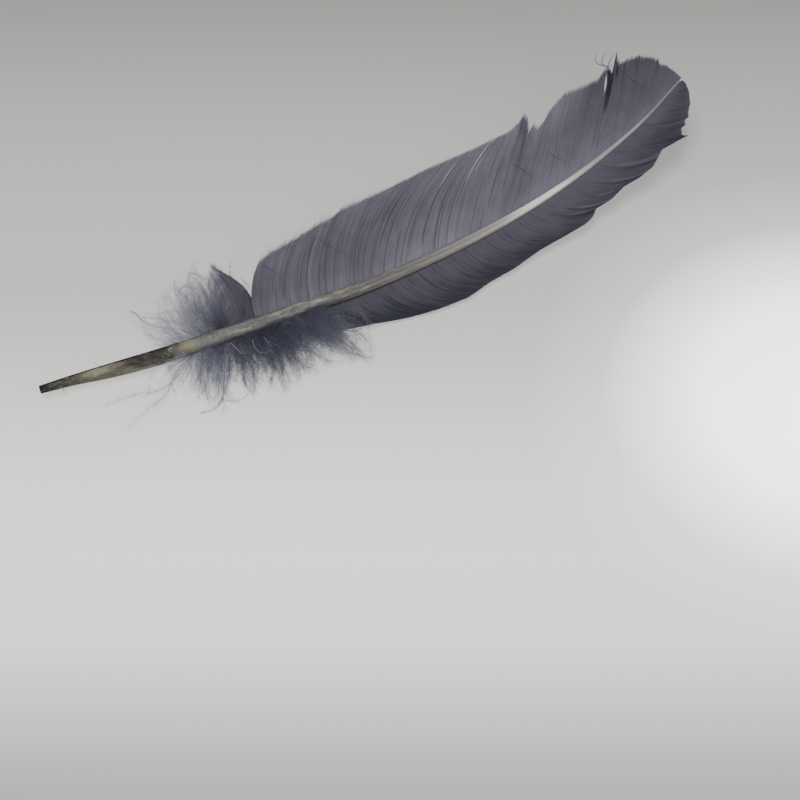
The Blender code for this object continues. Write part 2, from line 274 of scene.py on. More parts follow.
def makeStrands(name, spines, across, width, height, section, values, origin=0):
    # spines, across: strand by step by xyz; width and height: half sizes; values: named shades per step;
    # origin: where each strand lies across the UV map; a thread's last ring is one point
    count, steps = spines.shape[:2]
    section = np.array(section, float)
    sides = len(section)
    tangents = unit(np.gradient(spines, axis=1))
    across = unit(across - (across * tangents).sum(-1, keepdims=True) * tangents)
    ups = np.cross(across, tangents)
    reach = (width[..., None] * section[:, 0])[..., None] * across[:, :, None]
    rise = (height[..., None] * section[:, 1])[..., None] * ups[:, :, None]
    points = spines[:, :, None] + reach + rise
    points[..., 2] = np.maximum(points[..., 2], clearance)
    size = (steps - 1) * sides + (1 if sides == 3 else sides)
    kept = np.arange(steps * sides) < size
    number = np.arange(count)[:, None] * size + np.minimum(np.arange(steps * sides), size - 1)
    number = number.reshape(count, steps, sides)
    near, far = number[:, :-1], number[:, 1:]
    walls = np.stack([near, far, np.roll(far, -1, -1), np.roll(near, -1, -1)], axis=-1)
    faces = [number[:, 0]]
    if sides == 3:
        faces += [walls[:, :-1].reshape(-1, 4), walls[:, -1][..., [0, 1, 3]].reshape(-1, 3)]
    else:
        faces += [walls.reshape(-1, 4), number[:, -1, ::-1]]
    mesh = bpy.data.meshes.new(name)
    points = points.reshape(count, -1, 3)[:, kept].reshape(-1, 3)
    mesh.from_pydata((points + quillEnd) * mm, [], [face for group in faces for face in group.tolist()])
    length = np.cumsum(np.linalg.norm(np.diff(spines, axis=1, prepend=spines[:, :1]), axis=-1), axis=1)
    place = np.broadcast_to(np.asarray(origin, float).reshape(-1, 1), (count, steps))
    beside = place[..., None] + width[..., None] * section[:, 0]
    flat = np.stack([length[..., None] + 0 * section[:, 0], beside], -1)
    corners = np.empty(len(mesh.loops), int)
    mesh.loops.foreach_get("vertex_index", corners)
    flat = flat.reshape(count, -1, 2)[:, kept].reshape(-1, 2)
    mesh.uv_layers.new(name="UVMap").uv.foreach_set("vector", flat[corners].ravel())
    for key, shade in values.items():
        layer = mesh.attributes.new(key, "FLOAT", "POINT")
        shade = np.repeat(np.broadcast_to(shade, (count, steps)), sides, axis=1)[:, kept]
        layer.data.foreach_set("value", shade.ravel())
    mesh.shade_smooth()
    mesh.set_sharp_from_angle(angle=math.radians(70))
    return addObject(name, mesh)


# The two vanes and the loose lobe at the foot of the wide one

vaneForm = {
    "root": 0.15,  # share of the shaft's width from its middle to where barbs start
    "foot": 0.15,  # share of the shaft's depth from its underside to where they start
    "middle": 0.2,  # mm that they lie above that
    "steps": 26,
    "jitter": 0.06,  # share of the spacing by which roots differ
    "gap": (0.26, 0.9),  # least and most width in mm
    "overlap": 1.25,
    "level": 0.15,  # how much barbs beside a notch are kept from turning on edge
    "shingle": (9, 1.5),  # degrees that barbs tilt over one another, and how much that differs
    "sink": 0.3,  # how much barbs before a split sink, as a share of the lift past it
    "sway": (0.03, 0.015),  # mm to the side, drifting and by itself
    "heave": ((1, 0.015), (8, 0.2)),  # mm up at the ends: over how many barbs it drifts, how much
    "shade": (0.012, ((1, 0.007), (4, 0.005), (14, 0.005))),  # tone of each by itself, then as above
    "uneven": ((165, 1), (200, 0.5)),  # along, how much barbs differ in tone
    "crisp": ((165, 1.2), (205, 0.55)),  # along, how much dark lines show
    "ridge": (0.04, 0.07),  # half height in mm at the end, and what the root has more
}

wideVane = {
    "towards": 1, "spacing": 0.5, "curl": 1.25,
    "ragged": 0.2,  # mm by which barbs end short
    "taper": 0.06,  # share of their length over which they thin out
    "tone": 0.565,
    # tone tables, partly colour and partly painted light: the paler barb roots beside the shaft are partly paler
    # keratin and partly a painted highlight, and the dark fall at the tip's edge is painted shade
    "outward": ((0, 0.16), (0.12, 0.06), (0.25, 0), (0.4, -0.03), (0.6, -0.06), (1, -0.03)),  # share out, tone gained
    "along": ((82, -0.04), (92, 0), (120, -0.03), (150, 0.04), (185, 0.03), (222, 0.04), (243, -0.04), (264, -0.02)),
    "edge": (
        (80, 0.08), (130, 0.1), (170, 0.08), (203, 0.02), (214, -0.22), (228, -0.24), (243, -0.2), (254, -0.12),
        (266, 0),
    ),
    # barbs that shape it: root along the shaft, end along, end side, end up, bow as a share of the length
    "barbs": (
        (81.5, 88.5, 7.2, 7, 0.10), (82.5, 91, 9.2, 9, 0.10), (85.5, 97.5, 10.8, 10, 0.09),
        (93, 108.5, 11.3, 10.5, 0.12), (100, 118.5, 12.8, 11, 0.13), (105.5, 123.5, 12.9, 11.5, 0.10),
        (107.5, 128.5, 14, 12, 0.10), (117, 139.5, 13.9, 12.5, 0.10), (129, 163, 14.2, 13, 0.12),
        (139, 175, 14.3, 13.5, 0.10), (151.5, 184.5, 13.8, 14, 0.11), (162, 194, 13.4, 15, 0.10),
        (172, 200.5, 13.8, 16, 0.03), (178, 204.6, 15, 16.9, 0.01), (180.2, 207.5, 17.1, 17.5, 0),
        (180.9, 208.2, 15.1, 17, 0), (181.6, 207, 12.3, 16.5, 0), (182.3, 205.6, 9.5, 16, 0),
        (182.7, 207, 10.7, 16.1, 0), (184, 209.3, 12.1, 16.3, 0), (184.8, 209.2, 10.6, 16.3, 0),
        (186, 210.5, 10, 16.3, 0), (188.5, 213.3, 11.2, 16.5, -0.01), (192.5, 218, 14.7, 17, -0.02),
        (199.5, 226, 17.9, 18, -0.01), (208, 233.5, 16.3, 19.5, 0.02), (216.5, 239, 15.6, 21.5, -0.02),
        (221, 241.8, 16.8, 23.5, -0.03), (222.6, 243.2, 17.2, 24, -0.03), (223.3, 243.9, 16.8, 24, -0.02),
        (223.9, 244.2, 14.4, 23.6, -0.01), (224.1, 249.7, 20.8, 25.2, -0.01), (225.4, 248.7, 18.4, 24, -0.02),
        (225.9, 249.2, 17.8, 23.8, -0.02), (226.5, 248.5, 16.4, 23.3, -0.03), (227.5, 249.4, 17, 23, -0.03),
        (229.5, 251.4, 17.4, 22.8, -0.03), (232, 253.6, 17.1, 22.8, -0.02), (240.5, 258, 16.8, 22.8, -0.02),
        (241.5, 258.6, 15.5, 22.8, -0.02), (243, 260.2, 15, 22.8, -0.02), (246.6, 262.3, 13.1, 22.8, 0),
        (247.8, 262.4, 11.9, 22.7, 0), (248.2, 263.5, 12.6, 22.8, 0), (249.2, 262.8, 9.9, 22.6, 0),
        (253, 264.8, 8.2, 22.5, 0), (257.5, 266, 5.4, 22.2, 0), (261, 266.7, 2.6, 21.9, 0),
        (263.5, 266.9, 1, 21.7, 0),
    ),
    # where barbs came apart: root, share of the way out where it opens and closes (2 if it stays open to the
    # edge), gap, lift of the barbs past it, how far it is felt
    "splits": (
        (106.5, 0.7, 2, -0.1, 0.3, 3), (123.5, 0.66, 0.86, 0.2, 0.1, 2), (128.3, 0.33, 2, -0.1, 0.3, 6),
        (139.8, 0.05, 0.75, 0, 0.2, 3), (146, 0.56, 0.98, 0.3, 0.1, 2), (151.6, 0.12, 0.48, 0.1, 0.1, 2),
        (160, 0.5, 1.02, 0.34, 0.1, 2), (162, 0.6, 0.85, 0.26, 0.1, 2), (222.7, 0.74, 0.93, 1.1, 0, 1),
        (230, 0.4, 2, -0.1, 0.3, 3),
    ),
    # dark or pale lines along barbs, mostly painted light: dark ones are painted shadow in folds and beside splits
    # and lifted barbs, pale ones painted highlights where barbs twist towards the light; root, from and to as shares
    # of the way out, tone gained, how far it is felt
    "lines": (
        (180.2, 0.88, 1, -0.3, 0.25), (180.9, 0.88, 1, -0.16, 0.4), (181.4, 0.5, 0.85, -0.07, 0.9),
        (185.5, 0.15, 0.6, -0.03, 0.8), (128.3, 0.35, 0.8, -0.16, 0.35), (106.5, 0.65, 1, -0.12, 0.5),
        (139.8, 0.1, 0.7, -0.12, 0.35), (151.6, 0.1, 0.5, -0.12, 0.35), (223.5, 0.82, 1, -0.4, 0.5),
        (223.7, 0.62, 0.76, -0.26, 0.6), (225.6, 0.88, 1, -0.25, 0.5), (224, 0.38, 0.52, 0.2, 0.25),
        (230, 0.45, 1, -0.12, 0.4), (204, 0.3, 0.9, -0.03, 1), (212, 0.1, 0.9, -0.03, 2),
        (93.5, 0.1, 0.6, -0.07, 0.35), (98, 0.05, 0.7, -0.07, 0.3), (101.5, 0.05, 0.8, -0.07, 0.35),
    ),
    "seams": 1,  # how much dark lines show between its barbs
    "hair": (1, 0.78),  # how many of the hairs at its edge are kept, their tone
    # thin dark growth bars across the barbs: from and to, along and side
    "bars": (
        ((91.8, 8.3), (95.9, 3.4)), ((114.7, 8.8), (122.2, -0.6)), ((195.5, 3.7), (200.6, -4.4)),
        ((209.9, 2.2), (215.2, -5.1)), ((247.9, 14.9), (255.2, 3)),
    ),
}
narrowVane = {
    "towards": -1, "spacing": 0.5, "curl": 2.2,
    "ragged": 0.06,
    "taper": 0.02,
    # a lower tone than the wide vane, partly its own darker colour and partly painted shade for how the light falls
    # along its barbs; the fall in tone outwards to its edge is painted shade
    "tone": 0.37,
    "outward": (
        (0, 0.05), (0.12, 0), (0.25, -0.01), (0.4, -0.06), (0.55, -0.13), (0.7, -0.17), (0.83, -0.2), (1, -0.17),
    ),
    "along": ((91, -0.16), (110, -0.1), (120, -0.06), (140, -0.02), (170, 0), (200, 0.04), (225, 0.02), (264, 0.02)),
    "edge": ((91, 0.16), (110, 0.08), (125, -0.02), (180, 0), (205, 0.04), (220, 0.06), (235, 0.02), (264, 0.12)),
    "barbs": (
        (91, 98, -25, 1.2, -0.05), (100, 111, -27.7, 1.2, -0.10), (110, 123, -31, 1.3, -0.11),
        (120, 133, -33.6, 1.5, -0.13), (130, 143.5, -35.6, 1.5, -0.14), (140.5, 155, -36.3, 1.5, -0.15),
        (151, 165.5, -34.4, 1.7, -0.15), (162, 176.5, -33.7, 2.2, -0.16), (171.5, 188.2, -31.6, 3, -0.19),
        (180.5, 198, -31.1, 3.8, -0.19), (189, 208.7, -30.5, 5, -0.18), (194, 212.7, -29.3, 5.5, -0.15),
        (197, 215.1, -27.3, 6.5, -0.15), (202, 221.7, -27, 7.5, -0.16), (207.5, 228.2, -25, 9, -0.16),
        (213, 235.6, -24.6, 10, -0.13), (220, 241.6, -23.6, 11.5, -0.12), (227.5, 247.4, -19.8, 13.8, -0.11),
        (234.2, 258, -20.2, 16.5, -0.03), (234.9, 256, -19.1, 16.6, -0.03), (239.6, 257.2, -16.5, 17.3, -0.04),
        (240.3, 259.4, -16, 17.6, -0.03), (243.2, 259.8, -14.5, 18, -0.03), (244, 261.8, -14, 18.4, -0.02),
        (248, 262.9, -12, 18.7, -0.02), (253, 265.1, -9.5, 19.5, 0), (257.5, 266.9, -5.4, 20.5, 0.01),
        (261.5, 267.4, -2.2, 21.2, 0), (263.5, 267.1, -0.4, 21.4, 0),
    ),
    "splits": (
        (168, 0.6, 2, -0.1, 0.2, 4), (181, 0.5, 2, -0.1, 0.2, 4), (196.3, 0.35, 2, -0.2, 0.4, 3),
        (201, 0.5, 2, -0.2, 0.4, 3), (207.5, 0.5, 2, -0.1, 0.3, 3), (215, 0.2, 2, -0.2, 0.4, 3),
        (223.3, 0.1, 2, -0.2, 0.4, 3), (231.3, 0.35, 2, -0.2, 0.4, 2), (242.5, 0.55, 2, -0.1, 0.3, 2),
        (247.5, 0.2, 2, -0.1, 0.3, 2),
    ),
    # painted shadow along the lobes' splits (dark) and painted highlights on their edges (pale)
    "lines": (
        (240.5, 0.5, 1, -0.06, 1.6), (237.5, 0.5, 1, -0.05, 1.4), (244, 0.3, 0.9, -0.06, 1), (233, 0.4, 1, -0.08, 1),
        (223.3, 0.2, 1, -0.08, 0.7), (215, 0.25, 1, -0.09, 0.7), (201, 0.4, 1, -0.09, 0.7),
        (196.3, 0.3, 1, -0.09, 0.7), (225.2, 0.4, 1, 0.15, 0.8), (216.8, 0.5, 1, 0.18, 0.8),
        (208.6, 0.6, 1, 0.18, 0.7), (202.6, 0.55, 0.98, 0.2, 0.8), (197.8, 0.6, 0.98, 0.18, 0.7),
        (242.2, 0.6, 1, 0.14, 0.5),
    ),
    "seams": 0.85,
    "hair": (0.12, 0.2),
}
downyLobe = {
    "towards": 1, "spacing": 0.34, "curl": 2,
    "ragged": 1.8,
    "taper": 0.2,
    "tone": 0.44,
    "outward": ((0, -0.05), (0.5, 0), (1, 0.1)),
    "along": ((64, 0.06), (72, 0), (81, -0.04)),
    "edge": ((64, 0.1), (72, 0), (81, -0.06)),
    "barbs": (
        (65, 70.6, 10, 7.2, -0.04), (66.5, 72, 12.6, 7.8, -0.07), (68.5, 73.2, 14.1, 8.2, -0.1),
        (72, 74.3, 15.1, 8.5, -0.12), (76.5, 75.2, 15.5, 8.7, -0.15), (80.8, 76, 14.6, 8.5, -0.19),
    ),
    "splits": ((71.4, 0.9, 2, 0.1, 0.2, 1),),
    "lines": (
        (68.5, 0.4, 1, 0.12, 0.3), (70.6, 0.6, 1, 0.14, 0.2), (72.6, 0.7, 1, 0.16, 0.25), (74.5, 0.1, 0.9, -0.1, 0.3),
        (76.2, 0.6, 1, 0.1, 0.2), (77.5, 0.2, 0.8, 0.05, 0.4), (80.6, 0.1, 1, -0.14, 0.3),
    ),
    "seams": 0.8,
    "hair": (1, 0.7),
}
seam = {  # dark lines between barbs
    "every": 2, "among": 3, "dark": (0.02, 0.12), "opens": (-0.3, 0.8), "long": (0.12, 0.75),
}
bar = {"half": 0.3, "long": 0.65, "dark": 0.2}  # growth bars: half width in mm, half length as a share, tone lost
edgeHair = {
    "each": 5, "long": 2.0, "differ": (0.4, 1.1), "width": 0.042, "steps": 4,
    "bend": (-8, 22), "curl": ((0.3, 0.3), (0, 0.3), (0, 0.25)),  # middles and spreads, degrees and shares
    "at": (80, 100, 128, 150, 200, 270), "more": (1.7, 2.3, 1.6, 0.9, 0.6, 0.5), "share": (1, 1, 0.8, 0.5, 0.3, 0.3),
}


def surfaceOf(vane, roots, shares):  # spines of the barbs with these roots, at these shares of their length
    keys = np.array(vane["barbs"], float)
    endAlong, endSide, endUp, bow = (np.interp(roots, keys[:, 0], keys[:, k])[:, None] for k in (1, 2, 3, 4))
    buried = acrossShaft(roots) * (vane["towards"] * shaftAt(roots, "width") * vaneForm["root"])[:, None]
    start = np.stack([roots, shaftAt(roots, "side")], axis=-1) + buried
    run = np.concatenate([endAlong, endSide], axis=1) - start
    f = np.asarray(shares)[None, :, None]
    bulge = np.stack([-run[:, 1], run[:, 0]], axis=-1)[:, None] * bow[:, :, None] * 4
    spot = start[:, None] + run[:, None] * f + bulge * f * (1 - f)
    foot = (shaftAt(roots, "depth") * vaneForm["foot"])[:, None]
    rise = endUp - shaftAt(endAlong, "underside") - foot
    up = shaftAt(spot[..., 0], "underside") + foot + vaneForm["middle"] + rise * f[..., 0] ** vane["curl"]
    return np.concatenate([spot, up[..., None]], axis=-1)


def between(shares, opens, closes):  # 1 between the two shares, fading out within a tenth past them
    return np.clip((shares - opens) / 0.1 + 1, 0, 1) * np.clip((closes - shares) / 0.1 + 1, 0, 1)


def rootsOf(vane):  # as close as keeps the barbs' spacing where they stand furthest apart
    fine = np.arange(vane["barbs"][0][0], vane["barbs"][-1][0], 0.02)
    spots = surfaceOf(vane, fine, (0, 0.4, 0.8, 1))
    moved, way = np.diff(spots, axis=0), unit(spots[:-1, -1:] - spots[:-1, :1])
    apart = np.linalg.norm(moved - (moved * way).sum(-1, keepdims=True) * way, axis=-1).max(1)
    walked = np.concatenate([[0], np.cumsum(apart)])
    count = round(walked[-1] / vane["spacing"])
    return np.interp(np.linspace(0, walked[-1], count), walked, fine)


def combVane(vane):  # roots, spines, across, half widths, half heights and shades of all its barbs
    roots = rootsOf(vane)
    count = len(roots)
    roots += dice.normal(size=count) * vaneForm["jitter"] * np.gradient(roots)
    shares = np.linspace(0, 1, vaneForm["steps"])
    spines = surfaceOf(vane, roots, shares)
    tangents = unit(np.gradient(spines, axis=1))
    apart = np.gradient(spines, axis=0)
    apart -= (apart * tangents).sum(-1, keepdims=True) * tangents
    gap = np.clip(np.linalg.norm(apart, axis=-1), *vaneForm["gap"])
    level = unit(np.cross(tangents, (0, 0, vane["towards"])))
    across = unit(apart + vaneForm["level"] * level)
    ups = np.cross(across, tangents) * vane["towards"]
    tilt, differ = vaneForm["shingle"]
    turn = np.radians(tilt + differ * dice.normal(size=(count, 1)))[..., None]
    # the along, edge and outward tables add painted shade and painted highlight as well as colour
    gained, edge = (readTable(roots, vane[key])[:, None] for key in ("along", "edge"))
    tone = vane["tone"] + gained + readTable(shares, vane["outward"]) + edge * shares ** 2
    for root, opens, closes, split, lift, felt in vane["splits"]:
        away = roots - root
        near = np.exp(-np.abs(away) / felt)[:, None]
        if closes == 2:
            wide = np.clip((shares - opens) / (1 - opens), 0, 1) ** 1.3
        else:
            wide = np.sin(np.pi * np.clip((shares - opens) / (closes - opens), 0, 1))
        spines += (np.sign(away)[:, None] * near * wide * split / 2)[..., None] * across
        spines[..., 2] += np.where(away[:, None] > 0, near, -vaneForm["sink"] * near) * wide * lift
    drift, alone = vaneForm["sway"]
    spines += (wander(count, 2)[:, None] * drift + dice.normal(size=(count, 1)) * alone)[..., None] * across
    spines[..., 2] += sum(wander(count, reach) * much for reach, much in vaneForm["heave"])[:, None] * shares
    length = np.linalg.norm(np.diff(spines, axis=1), axis=-1).sum(1)
    short = np.maximum(1 - np.abs(dice.normal(size=count)) * vane["ragged"] / length, 0.5)
    at = shares * short[:, None] * (len(shares) - 1)  # barbs end short along their own line
    step, each = np.minimum(at.astype(int), len(shares) - 2), np.arange(count)[:, None]
    spines = spines[each, step] + (spines[each, step + 1] - spines[each, step]) * (at - step)[..., None]
    alone, drifts = vaneForm["shade"]
    shade = alone * dice.normal(size=count)
    for reach, much in drifts:
        shade += much * wander(count, reach)
    tone += (shade * readTable(roots, vaneForm["uneven"]))[:, None]
    # painted shadow and painted highlight lines along barbs
    for root, opens, closes, gained, felt in vane["lines"]:
        tone += gained * np.exp(-((roots - root) / felt) ** 2)[:, None] * between(shares, opens, closes)
    for n in range(0, count - seam["among"], seam["every"]):
        opens, dark = dice.uniform(*seam["opens"]), dice.uniform(*seam["dark"]) * vane["seams"]
        dark *= readTable(roots[n], vaneForm["crisp"])
        one = n + dice.integers(0, seam["among"])
        tone[one] -= dark * between(shares, opens, opens + dice.uniform(*seam["long"]))
    width = gap / 2 * vaneForm["overlap"] * np.clip((1.01 - shares) / vane["taper"], 0.3, 1)
    end, more = vaneForm["ridge"]
    height = (end + more * (1 - shares)) * np.ones((count, 1))
    return roots, spines, across * np.cos(turn) + ups * np.sin(turn), width, height, {"tone": tone}


def hairEdge(spines, kept, tone):  # fine loose barbules past the vane's edge
    strand = np.repeat(np.arange(len(spines)), edgeHair["each"])
    count = len(strand)
    start = spines[strand, -1 - dice.integers(0, 3, count)]
    way = unit(spines[:, -1] - spines[:, -4])[strand]
    middle, spread = edgeHair["bend"]
    bend = np.radians(dice.normal(size=count) * spread + middle)[:, None]
    go = way * np.cos(bend) + sideways(way) * np.sin(bend)
    go[:, 2] = way[:, 2]
    reach = edgeHair["long"] * np.interp(start[:, 0], edgeHair["at"], edgeHair["more"])
    reach = reach * dice.uniform(*edgeHair["differ"], count)
    curl = np.stack([dice.normal(size=count) * spread + middle for middle, spread in edgeHair["curl"]], -1)
    hairs = bendHairs(start, go, curl, reach, edgeHair["steps"])
    hairs = hairs[dice.random(count) < kept * np.interp(start[:, 0], edgeHair["at"], edgeHair["share"])]
    across = np.broadcast_to(np.array([0.6, -0.6, 0.5]), hairs.shape)
    width = edgeHair["width"] * (1.1 - np.linspace(0, 1, edgeHair["steps"])) * np.ones((len(hairs), 1))
    return hairs, across, width, width, {"tone": tone}


combed = {
    "streak": (0.12, 1.6, 1), "streaks": 0.14,  # streaks a mm along barbs and across, and their share of the tone
    "cloud": 8, "clouds": 0.14,  # mm across, share of the tone
    "colour": ((0.1, "#1f2030"), (0.5, "#5f5d6c"), (0.9, "#9b9aa8")),  # by tone
}


def combedVane():  # dyed keratin barbs zipped together: fine ridges that shade one another, so there is little gloss
    material, tree, shader = newMaterial("combed_vane", {
        "Roughness": 0.6, "IOR": 1.5, "Specular IOR Level": 0.25, "Sheen Weight": 0.05, "Sheen Roughness": 0.4})
    tone = addNode(tree, "Attribute", {"attribute_name": "tone"}).outputs["Fac"]
    flat = addNode(tree, "UVMap").outputs["UV"]
    spot = addNode(tree, "TexCoord").outputs["Object"]
    drawn = addNode(tree, "Mapping", {"Scale": combed["streak"]}, {"Vector": flat}).outputs["Vector"]
    for vector, scale, much in ((drawn, 1, combed["streaks"]), (spot, 1 / (combed["cloud"] * mm), combed["clouds"])):
        noise = addNode(tree, "TexNoise", {"Scale": scale, "Detail": 3}, {"Vector": vector})
        tone = addNode(tree, "Math", {"operation": "MULTIPLY_ADD", 1: much}, {
            0: noise.outputs["Fac"], 2: tone}).outputs["Value"]
    middle = (combed["streaks"] + combed["clouds"]) / 2
    tone = addNode(tree, "Math", {"operation": "SUBTRACT", 1: middle}, {0: tone}).outputs["Value"]
    for start, end in wideVane["bars"]:  # growth bars: a thin long spot over each
        centre, run = (np.add(start, end) / 2 + quillEnd[:2]) * mm, np.subtract(end, start)
        placed = addNode(tree, "Mapping", {
            "vector_type": "TEXTURE", "Location": (*centre, 0), "Rotation": (0, 0, math.atan2(run[1], run[0])),
            "Scale": (np.linalg.norm(run) * bar["long"] * mm, bar["half"] * mm, 1)}, {"Vector": spot})
        spread = addNode(tree, "TexGradient", {"gradient_type": "SPHERICAL"}, {
            "Vector": placed.outputs["Vector"]})
        tone = addNode(tree, "Math", {"operation": "MULTIPLY_ADD", 1: -bar["dark"]}, {
            0: spread.outputs["Fac"], 2: tone}).outputs["Value"]
    tree.links.new(addRamp(tree, tone, combed["colour"]), shader.inputs["Base Color"])
    return material


vaneMaterial = combedVane()
for name, vane in (("wide_vane", wideVane), ("narrow_vane", narrowVane), ("downy_lobe", downyLobe)):
    roots, spines, across, width, height, shades = combVane(vane)
    piece = makeStrands(name, spines, across, width, height, ribbon, shades, roots)
    finishPiece(piece, vaneMaterial)
    *form, shades = hairEdge(spines, *vane["hair"])
    hairs = makeStrands(name + "_hairs", *form, thread, shades)
    finishPiece(hairs, vaneMaterial)
    print(name, len(piece.data.polygons), "faces")


# The shaft: bare quill, stained where the down starts, then a pale horn shaft with a groove on top

shaftLook = {
    "girth": 14,  # mm round the shaft where it is thick
    # colour by share of the length: on the rim beside the wide vane, on the upper part, on the lower and on the
    # flanks; besides the horn's colour they hold a painted highlight, near white from about 0.69 to 0.8, and painted
    # light on the flanks
    "rim": (
        (0, "#14161d"), (0.03, "#1f1f20"), (0.055, "#232221"), (0.07, "#46433d"), (0.1, "#46433d"),
        (0.113, "#222121"), (0.15, "#242322"), (0.187, "#1a1a1b"), (0.196, "#6c6a60"), (0.212, "#74726a"),
        (0.228, "#5c5c59"), (0.28, "#5f5e5e"), (0.34, "#676664"), (0.44, "#6c6a67"), (0.5, "#757270"),
        (0.6, "#73706e"), (0.66, "#817e7d"), (0.72, "#86827f"), (0.77, "#9a9693"), (0.83, "#858284"),
        (0.9, "#6d6b71"), (0.95, "#636168"), (1, "#615f68"),
    ),
    "upper": (
        (0, "#20222c"), (0.013, "#393a42"), (0.022, "#484745"), (0.045, "#5a5751"), (0.058, "#747165"),
        (0.068, "#9a9785"), (0.09, "#949180"), (0.104, "#747165"), (0.116, "#57514a"), (0.14, "#484340"),
        (0.172, "#4a4643"), (0.186, "#67645a"), (0.197, "#88866f"), (0.207, "#9b997e"), (0.216, "#83827a"),
        (0.228, "#70716f"), (0.252, "#7b7c79"), (0.28, "#6f706c"), (0.32, "#737370"), (0.37, "#807e79"),
        (0.437, "#686664"), (0.5, "#666462"), (0.56, "#797775"), (0.66, "#989490"), (0.69, "#aba6a1"),
        # 0.69 to 0.8: pale horn brightened to near white as a painted highlight
        (0.71, "#d8d1cb"), (0.735, "#faf5f0"), (0.77, "#f6efea"), (0.8, "#c2bbb7"), (0.85, "#a09c9c"),
        (0.915, "#9d9999"), (0.947, "#837f83"),
    ),
    "lower": (
        (0, "#23252f"), (0.013, "#36373f"), (0.022, "#4b4a48"), (0.05, "#5b5953"), (0.075, "#6f6c5e"),
        (0.1, "#67645a"), (0.125, "#716f66"), (0.15, "#56534e"), (0.165, "#4f4c48"), (0.18, "#575550"),
        (0.2, "#78766c"), (0.212, "#82817a"), (0.228, "#767773"), (0.26, "#7a7a76"), (0.29, "#848580"),
        (0.32, "#6f706b"), (0.35, "#5c5d5a"), (0.41, "#5d5d5a"), (0.45, "#6a6966"), (0.5, "#7e7c78"),
        # 0.68 to 0.76: pale horn brightened to near white as a painted highlight
        (0.56, "#8e8c88"), (0.62, "#a8a5a1"), (0.68, "#ccc8c4"), (0.71, "#f0eae6"), (0.76, "#f5efeb"),
        (0.8, "#dad4d1"), (0.86, "#b2aeae"), (0.92, "#a19ea2"), (0.95, "#807e84"), (1, "#76747d"),
    ),
    # on the flanks: partly paler horn and partly painted light bounced up from the floor, with the same painted
    # highlight from 0.68 to 0.76
    "under": (
        (0, "#23252f"), (0.02, "#4a4a49"), (0.08, "#6c6a62"), (0.12, "#7c7a73"), (0.2, "#7f7d78"), (0.3, "#737270"),
        (0.36, "#6e6e6b"), (0.42, "#7b7b77"), (0.48, "#9f9d98"), (0.56, "#bfbcb7"), (0.68, "#dedad5"),
        (0.76, "#f2ede9"), (0.86, "#bcb8b9"), (0.93, "#a5a2a6"), (1, "#8a8890"),
    ),
    # where each band after the lower one takes over, by how far round: 1 on the wide vane's side, 0 at the top
    "turns": (("under", -0.84, -0.99), ("upper", -0.8, -0.15), ("rim", 0.3, 0.5), ("under", 0.82, 0.96)),
    # stains: size round and along in mm, where the noise starts and ends to show, colour, and by share of the
    # length how strong
    "stains": (
        ((3, 8), (0.49, 0.58), "#332f2d", (
            (0, 0.25), (0.03, 0.4), (0.06, 0.1), (0.1, 0.1), (0.12, 0.65), (0.17, 0.65), (0.19, 0.1), (0.3, 0.25),
            (0.5, 0.2), (0.7, 0.0))),
        ((1.4, 4.5), (0.53, 0.62), "#a5a28b", (
            (0.01, 0.1), (0.03, 0.35), (0.06, 0.5), (0.1, 0.4), (0.12, 0.2), (0.18, 0.2), (0.21, 0.4), (0.24, 0.25),
            (0.3, 0.4), (0.42, 0.35), (0.5, 0.2), (0.7, 0.0))),
        (
            (0.7, 9), (0.52, 0.62), "#c3c1b4",
            ((0.22, 0.0), (0.25, 0.25), (0.33, 0.5), (0.43, 0.45), (0.5, 0.2), (0.75, 0.0))),
        (
            (0.9, 5), (0.52, 0.62), "#45443f",
            ((0.21, 0.0), (0.24, 0.4), (0.33, 0.5), (0.47, 0.5), (0.55, 0.25), (0.7, 0.0))),
        ((0.6, 1.4), (0.55, 0.6), "#141315", (
            (0, 0.3), (0.02, 0.45), (0.09, 0.35), (0.14, 0.4), (0.16, 0.7), (0.187, 0.8), (0.197, 0.2), (0.3, 0.1),
            (0.5, 0.06), (0.65, 0.0))),
        ((0.7, 2.2), (0.58, 0.64), "#d6d2ba", (
            (0, 0.1), (0.02, 0.25), (0.06, 0.25), (0.1, 0.15), (0.17, 0.1), (0.185, 0.6), (0.2, 0.5), (0.21, 0.2),
            (0.4, 0.1),
            (0.6, 0.0))),
    ),
    "roughness": (
        (0, 0.75), (0.19, 0.7), (0.23, 0.5), (0.6, 0.45), (0.69, 0.35), (0.74, 0.22), (0.79, 0.3), (0.85, 0.45),
    ),
    "shine": ((0, 0.1), (0.19, 0.1), (0.23, 0.3), (0.68, 0.4), (0.72, 1.0), (0.79, 1.0), (0.84, 0.3)),
}


